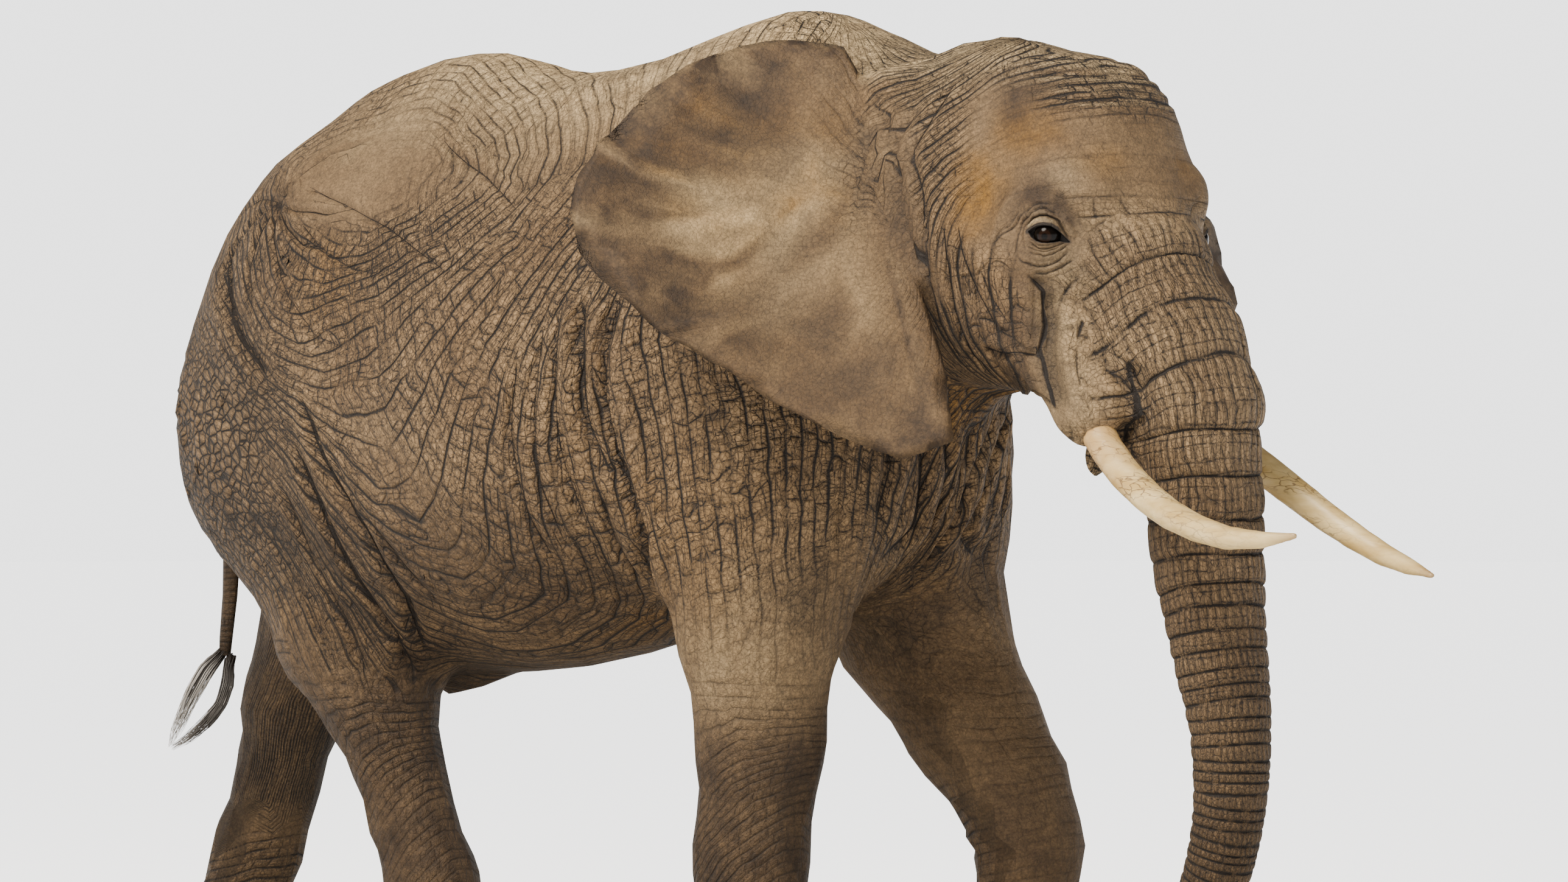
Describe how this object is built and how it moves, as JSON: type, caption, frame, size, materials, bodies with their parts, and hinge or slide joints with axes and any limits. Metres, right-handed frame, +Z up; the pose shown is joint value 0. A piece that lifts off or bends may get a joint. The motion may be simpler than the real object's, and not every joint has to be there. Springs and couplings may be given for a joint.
{
  "type": "african bush elephant",
  "caption": "Life-size standing model of a young bull African elephant in mid-stride, ears half spread, trunk hanging and curled back at its tip, with tusks, toenails and a tufted tail.",
  "frame": {"origin": "on the floor, under the middle of the object's box", "axes": "+X toward the tips of the tusks, +Y to the animal's left, +Z up from the soles"},
  "size_m": [4.4764, 2.0538, 2.7876],
  "materials": {
    "skin": "dry, folded, matte hide",
    "ivory": "worn ivory with a soft sheen",
    "nail": "dull worn horn",
    "eye": "wet and glossy",
    "hair": "wiry bristle"
  },
  "bodies": {
    "root": {"torso": "skin", "neck": "skin", "head": "skin", "jaw": "skin", "eye_right": "eye", "eye_left": "eye", "ear_right": "skin", "ear_left": "skin", "tusk_right": "ivory", "tusk_left": "ivory", "trunk_1": "skin", "trunk_2": "skin", "trunk_3": "skin", "trunk_4": "skin", "leg_front_right_upper": "skin", "leg_front_right_lower": "skin", "leg_front_right_foot": "skin", "leg_front_left_upper": "skin", "leg_front_left_lower": "skin", "leg_front_left_foot": "skin", "leg_hind_right_upper": "skin", "leg_hind_right_lower": "skin", "leg_hind_right_foot": "skin", "leg_hind_left_upper": "skin", "leg_hind_left_lower": "skin", "leg_hind_left_foot": "skin", "nail_front_right_1": "nail", "nail_front_right_2": "nail", "nail_front_right_3": "nail", "nail_front_right_4": "nail", "nail_front_left_1": "nail", "nail_front_left_2": "nail", "nail_front_left_3": "nail", "nail_front_left_4": "nail", "nail_hind_right_1": "nail", "nail_hind_right_2": "nail", "nail_hind_right_3": "nail", "nail_hind_left_1": "nail", "nail_hind_left_2": "nail", "nail_hind_left_3": "nail", "tail": "skin", "tail_tuft": "hair"}
  },
  "joints": []
}
